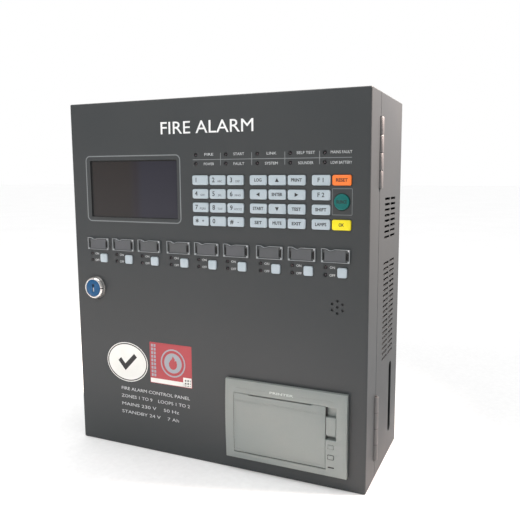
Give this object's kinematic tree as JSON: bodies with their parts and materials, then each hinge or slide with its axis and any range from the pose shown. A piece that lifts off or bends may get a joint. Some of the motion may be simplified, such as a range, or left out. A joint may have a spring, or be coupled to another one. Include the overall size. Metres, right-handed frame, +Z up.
{
  "type": "fire alarm control panel",
  "caption": "Wall-mounted fire alarm control panel: steel cabinet with a side-hinged door carrying a display, keypad, zone buttons, cam lock and a small paper printer.",
  "frame": {"origin": "centre of the four wall fixing holes, in the plane of the cabinet's back face", "axes": "+X to the viewer's right, +Y into the wall, +Z up; the door faces -Y"},
  "size_m": [0.3632, 0.1463, 0.405],
  "materials": {
    "cabinet_paint": "satin dark grey powder coat",
    "hinge_steel": "light grey satin paint",
    "lock_chrome": "polished",
    "lock_blue": "blue, moulded",
    "zinc_steel": "zinc plated",
    "window_plastic": "dark tinted pane",
    "holder_plastic": "clear grey",
    "circuit_board": "green solder mask",
    "printer_plastic": "light grey, fine texture",
    "roll_paper": "thermal paper",
    "supply_case": "perforated sheet",
    "battery_case": "black moulded",
    "key_plastic": "pale grey-blue moulded",
    "key_orange": "moulded",
    "key_green": "moulded",
    "key_yellow": "moulded"
  },
  "bodies": {
    "cabinet": {"rear_box": "cabinet_paint", "hinge_box_leaves": "hinge_steel", "hinge_pins": "hinge_steel", "loop_board": "circuit_board", "power_supply": "supply_case", "batteries": "battery_case"},
    "door": {"door_panel": "cabinet_paint", "hinge_door_leaves": "hinge_steel", "lock_body": "lock_chrome", "display_window": "window_plastic", "label_holders": "holder_plastic", "control_board": "circuit_board", "printer_housing": "printer_plastic"},
    "lock": {"lock_plug": "lock_blue", "lock_cam": "zinc_steel"},
    "printer_door": {"printer_door": "printer_plastic"},
    "printer_latch": {"printer_latch": "printer_plastic"},
    "feed_button": {"printer_feed_button": "printer_plastic"},
    "select_button": {"printer_select_button": "printer_plastic"},
    "paper_roll": {"paper_roll": "roll_paper"},
    "key_1": {"key_1": "key_plastic"},
    "key_2": {"key_2": "key_plastic"},
    "key_3": {"key_3": "key_plastic"},
    "key_4": {"key_4": "key_plastic"},
    "key_5": {"key_5": "key_plastic"},
    "key_6": {"key_6": "key_plastic"},
    "key_7": {"key_7": "key_plastic"},
    "key_8": {"key_8": "key_plastic"},
    "key_9": {"key_9": "key_plastic"},
    "key_star": {"key_star": "key_plastic"},
    "key_0": {"key_0": "key_plastic"},
    "key_hash": {"key_hash": "key_plastic"},
    "key_query": {"key_query": "key_plastic"},
    "key_up": {"key_up": "key_plastic"},
    "key_print": {"key_print": "key_plastic"},
    "key_left": {"key_left": "key_plastic"},
    "key_enter": {"key_enter": "key_plastic"},
    "key_right": {"key_right": "key_plastic"},
    "key_start": {"key_start": "key_plastic"},
    "key_down": {"key_down": "key_plastic"},
    "key_test": {"key_test": "key_plastic"},
    "key_set": {"key_set": "key_plastic"},
    "key_mute": {"key_mute": "key_plastic"},
    "key_exit": {"key_exit": "key_plastic"},
    "key_f1": {"key_f1": "key_plastic"},
    "key_f2": {"key_f2": "key_plastic"},
    "key_shift": {"key_shift": "key_plastic"},
    "key_lamp_test": {"key_lamp_test": "key_plastic"},
    "key_reset": {"key_reset": "key_orange"},
    "key_silence": {"key_silence": "key_green"},
    "key_confirm": {"key_confirm": "key_yellow"},
    "zone_button_1": {"zone_button_1": "key_plastic"},
    "zone_button_2": {"zone_button_2": "key_plastic"},
    "zone_button_3": {"zone_button_3": "key_plastic"},
    "zone_button_4": {"zone_button_4": "key_plastic"},
    "zone_button_5": {"zone_button_5": "key_plastic"},
    "zone_button_6": {"zone_button_6": "key_plastic"},
    "zone_button_7": {"zone_button_7": "key_plastic"},
    "zone_button_8": {"zone_button_8": "key_plastic"},
    "zone_button_9": {"zone_button_9": "key_plastic"}
  },
  "joints": [
    {"name": "door_hinge", "type": "hinge", "parent": "cabinet", "child": "door", "pos_m": [0.18, -0.1035, 0], "axis": [0, 0, 1], "range_deg": [0, 120]},
    {"name": "lock_turn", "type": "hinge", "parent": "door", "child": "lock", "pos_m": [-0.152, -0.14, -0.0115], "axis": [0, 1, 0], "range_deg": [0, 90]},
    {"name": "printer_door_hinge", "type": "hinge", "parent": "door", "child": "printer_door", "pos_m": [0.0862, -0.143, -0.1782], "axis": [1, 0, 0], "range_deg": [0, 75]},
    {"name": "printer_latch_pivot", "type": "hinge", "parent": "door", "child": "printer_latch", "pos_m": [0.1446, -0.143, -0.1426], "axis": [1, 0, 0], "range_deg": [0, 20], "stiffness_Nm_per_rad": 0.02},
    {"name": "feed_button_press", "type": "slide", "parent": "door", "child": "feed_button", "axis": [0, 1, 0], "range_m": [0, 0.001], "stiffness_N_per_m": 300},
    {"name": "select_button_press", "type": "slide", "parent": "door", "child": "select_button", "axis": [0, 1, 0], "range_m": [0, 0.001], "stiffness_N_per_m": 300},
    {"name": "paper_roll_turn", "type": "hinge", "parent": "door", "child": "paper_roll", "pos_m": [0.0862, -0.114, -0.1597], "axis": [1, 0, 0], "continuous": true},
    {"name": "key_1_press", "type": "slide", "parent": "door", "child": "key_1", "axis": [0, 1, 0], "range_m": [0, 0.0012], "stiffness_N_per_m": 400},
    {"name": "key_2_press", "type": "slide", "parent": "door", "child": "key_2", "axis": [0, 1, 0], "range_m": [0, 0.0012], "stiffness_N_per_m": 400},
    {"name": "key_3_press", "type": "slide", "parent": "door", "child": "key_3", "axis": [0, 1, 0], "range_m": [0, 0.0012], "stiffness_N_per_m": 400},
    {"name": "key_4_press", "type": "slide", "parent": "door", "child": "key_4", "axis": [0, 1, 0], "range_m": [0, 0.0012], "stiffness_N_per_m": 400},
    {"name": "key_5_press", "type": "slide", "parent": "door", "child": "key_5", "axis": [0, 1, 0], "range_m": [0, 0.0012], "stiffness_N_per_m": 400},
    {"name": "key_6_press", "type": "slide", "parent": "door", "child": "key_6", "axis": [0, 1, 0], "range_m": [0, 0.0012], "stiffness_N_per_m": 400},
    {"name": "key_7_press", "type": "slide", "parent": "door", "child": "key_7", "axis": [0, 1, 0], "range_m": [0, 0.0012], "stiffness_N_per_m": 400},
    {"name": "key_8_press", "type": "slide", "parent": "door", "child": "key_8", "axis": [0, 1, 0], "range_m": [0, 0.0012], "stiffness_N_per_m": 400},
    {"name": "key_9_press", "type": "slide", "parent": "door", "child": "key_9", "axis": [0, 1, 0], "range_m": [0, 0.0012], "stiffness_N_per_m": 400},
    {"name": "key_star_press", "type": "slide", "parent": "door", "child": "key_star", "axis": [0, 1, 0], "range_m": [0, 0.0012], "stiffness_N_per_m": 400},
    {"name": "key_0_press", "type": "slide", "parent": "door", "child": "key_0", "axis": [0, 1, 0], "range_m": [0, 0.0012], "stiffness_N_per_m": 400},
    {"name": "key_hash_press", "type": "slide", "parent": "door", "child": "key_hash", "axis": [0, 1, 0], "range_m": [0, 0.0012], "stiffness_N_per_m": 400},
    {"name": "key_query_press", "type": "slide", "parent": "door", "child": "key_query", "axis": [0, 1, 0], "range_m": [0, 0.0012], "stiffness_N_per_m": 400},
    {"name": "key_up_press", "type": "slide", "parent": "door", "child": "key_up", "axis": [0, 1, 0], "range_m": [0, 0.0012], "stiffness_N_per_m": 400},
    {"name": "key_print_press", "type": "slide", "parent": "door", "child": "key_print", "axis": [0, 1, 0], "range_m": [0, 0.0012], "stiffness_N_per_m": 400},
    {"name": "key_left_press", "type": "slide", "parent": "door", "child": "key_left", "axis": [0, 1, 0], "range_m": [0, 0.0012], "stiffness_N_per_m": 400},
    {"name": "key_enter_press", "type": "slide", "parent": "door", "child": "key_enter", "axis": [0, 1, 0], "range_m": [0, 0.0012], "stiffness_N_per_m": 400},
    {"name": "key_right_press", "type": "slide", "parent": "door", "child": "key_right", "axis": [0, 1, 0], "range_m": [0, 0.0012], "stiffness_N_per_m": 400},
    {"name": "key_start_press", "type": "slide", "parent": "door", "child": "key_start", "axis": [0, 1, 0], "range_m": [0, 0.0012], "stiffness_N_per_m": 400},
    {"name": "key_down_press", "type": "slide", "parent": "door", "child": "key_down", "axis": [0, 1, 0], "range_m": [0, 0.0012], "stiffness_N_per_m": 400},
    {"name": "key_test_press", "type": "slide", "parent": "door", "child": "key_test", "axis": [0, 1, 0], "range_m": [0, 0.0012], "stiffness_N_per_m": 400},
    {"name": "key_set_press", "type": "slide", "parent": "door", "child": "key_set", "axis": [0, 1, 0], "range_m": [0, 0.0012], "stiffness_N_per_m": 400},
    {"name": "key_mute_press", "type": "slide", "parent": "door", "child": "key_mute", "axis": [0, 1, 0], "range_m": [0, 0.0012], "stiffness_N_per_m": 400},
    {"name": "key_exit_press", "type": "slide", "parent": "door", "child": "key_exit", "axis": [0, 1, 0], "range_m": [0, 0.0012], "stiffness_N_per_m": 400},
    {"name": "key_f1_press", "type": "slide", "parent": "door", "child": "key_f1", "axis": [0, 1, 0], "range_m": [0, 0.0012], "stiffness_N_per_m": 400},
    {"name": "key_f2_press", "type": "slide", "parent": "door", "child": "key_f2", "axis": [0, 1, 0], "range_m": [0, 0.0012], "stiffness_N_per_m": 400},
    {"name": "key_shift_press", "type": "slide", "parent": "door", "child": "key_shift", "axis": [0, 1, 0], "range_m": [0, 0.0012], "stiffness_N_per_m": 400},
    {"name": "key_lamp_test_press", "type": "slide", "parent": "door", "child": "key_lamp_test", "axis": [0, 1, 0], "range_m": [0, 0.0012], "stiffness_N_per_m": 400},
    {"name": "key_reset_press", "type": "slide", "parent": "door", "child": "key_reset", "axis": [0, 1, 0], "range_m": [0, 0.0012], "stiffness_N_per_m": 400},
    {"name": "key_silence_press", "type": "slide", "parent": "door", "child": "key_silence", "axis": [0, 1, 0], "range_m": [0, 0.0012], "stiffness_N_per_m": 400},
    {"name": "key_confirm_press", "type": "slide", "parent": "door", "child": "key_confirm", "axis": [0, 1, 0], "range_m": [0, 0.0012], "stiffness_N_per_m": 400},
    {"name": "zone_button_1_press", "type": "slide", "parent": "door", "child": "zone_button_1", "axis": [0, 1, 0], "range_m": [0, 0.0012], "stiffness_N_per_m": 400},
    {"name": "zone_button_2_press", "type": "slide", "parent": "door", "child": "zone_button_2", "axis": [0, 1, 0], "range_m": [0, 0.0012], "stiffness_N_per_m": 400},
    {"name": "zone_button_3_press", "type": "slide", "parent": "door", "child": "zone_button_3", "axis": [0, 1, 0], "range_m": [0, 0.0012], "stiffness_N_per_m": 400},
    {"name": "zone_button_4_press", "type": "slide", "parent": "door", "child": "zone_button_4", "axis": [0, 1, 0], "range_m": [0, 0.0012], "stiffness_N_per_m": 400},
    {"name": "zone_button_5_press", "type": "slide", "parent": "door", "child": "zone_button_5", "axis": [0, 1, 0], "range_m": [0, 0.0012], "stiffness_N_per_m": 400},
    {"name": "zone_button_6_press", "type": "slide", "parent": "door", "child": "zone_button_6", "axis": [0, 1, 0], "range_m": [0, 0.0012], "stiffness_N_per_m": 400},
    {"name": "zone_button_7_press", "type": "slide", "parent": "door", "child": "zone_button_7", "axis": [0, 1, 0], "range_m": [0, 0.0012], "stiffness_N_per_m": 400},
    {"name": "zone_button_8_press", "type": "slide", "parent": "door", "child": "zone_button_8", "axis": [0, 1, 0], "range_m": [0, 0.0012], "stiffness_N_per_m": 400},
    {"name": "zone_button_9_press", "type": "slide", "parent": "door", "child": "zone_button_9", "axis": [0, 1, 0], "range_m": [0, 0.0012], "stiffness_N_per_m": 400}
  ]
}
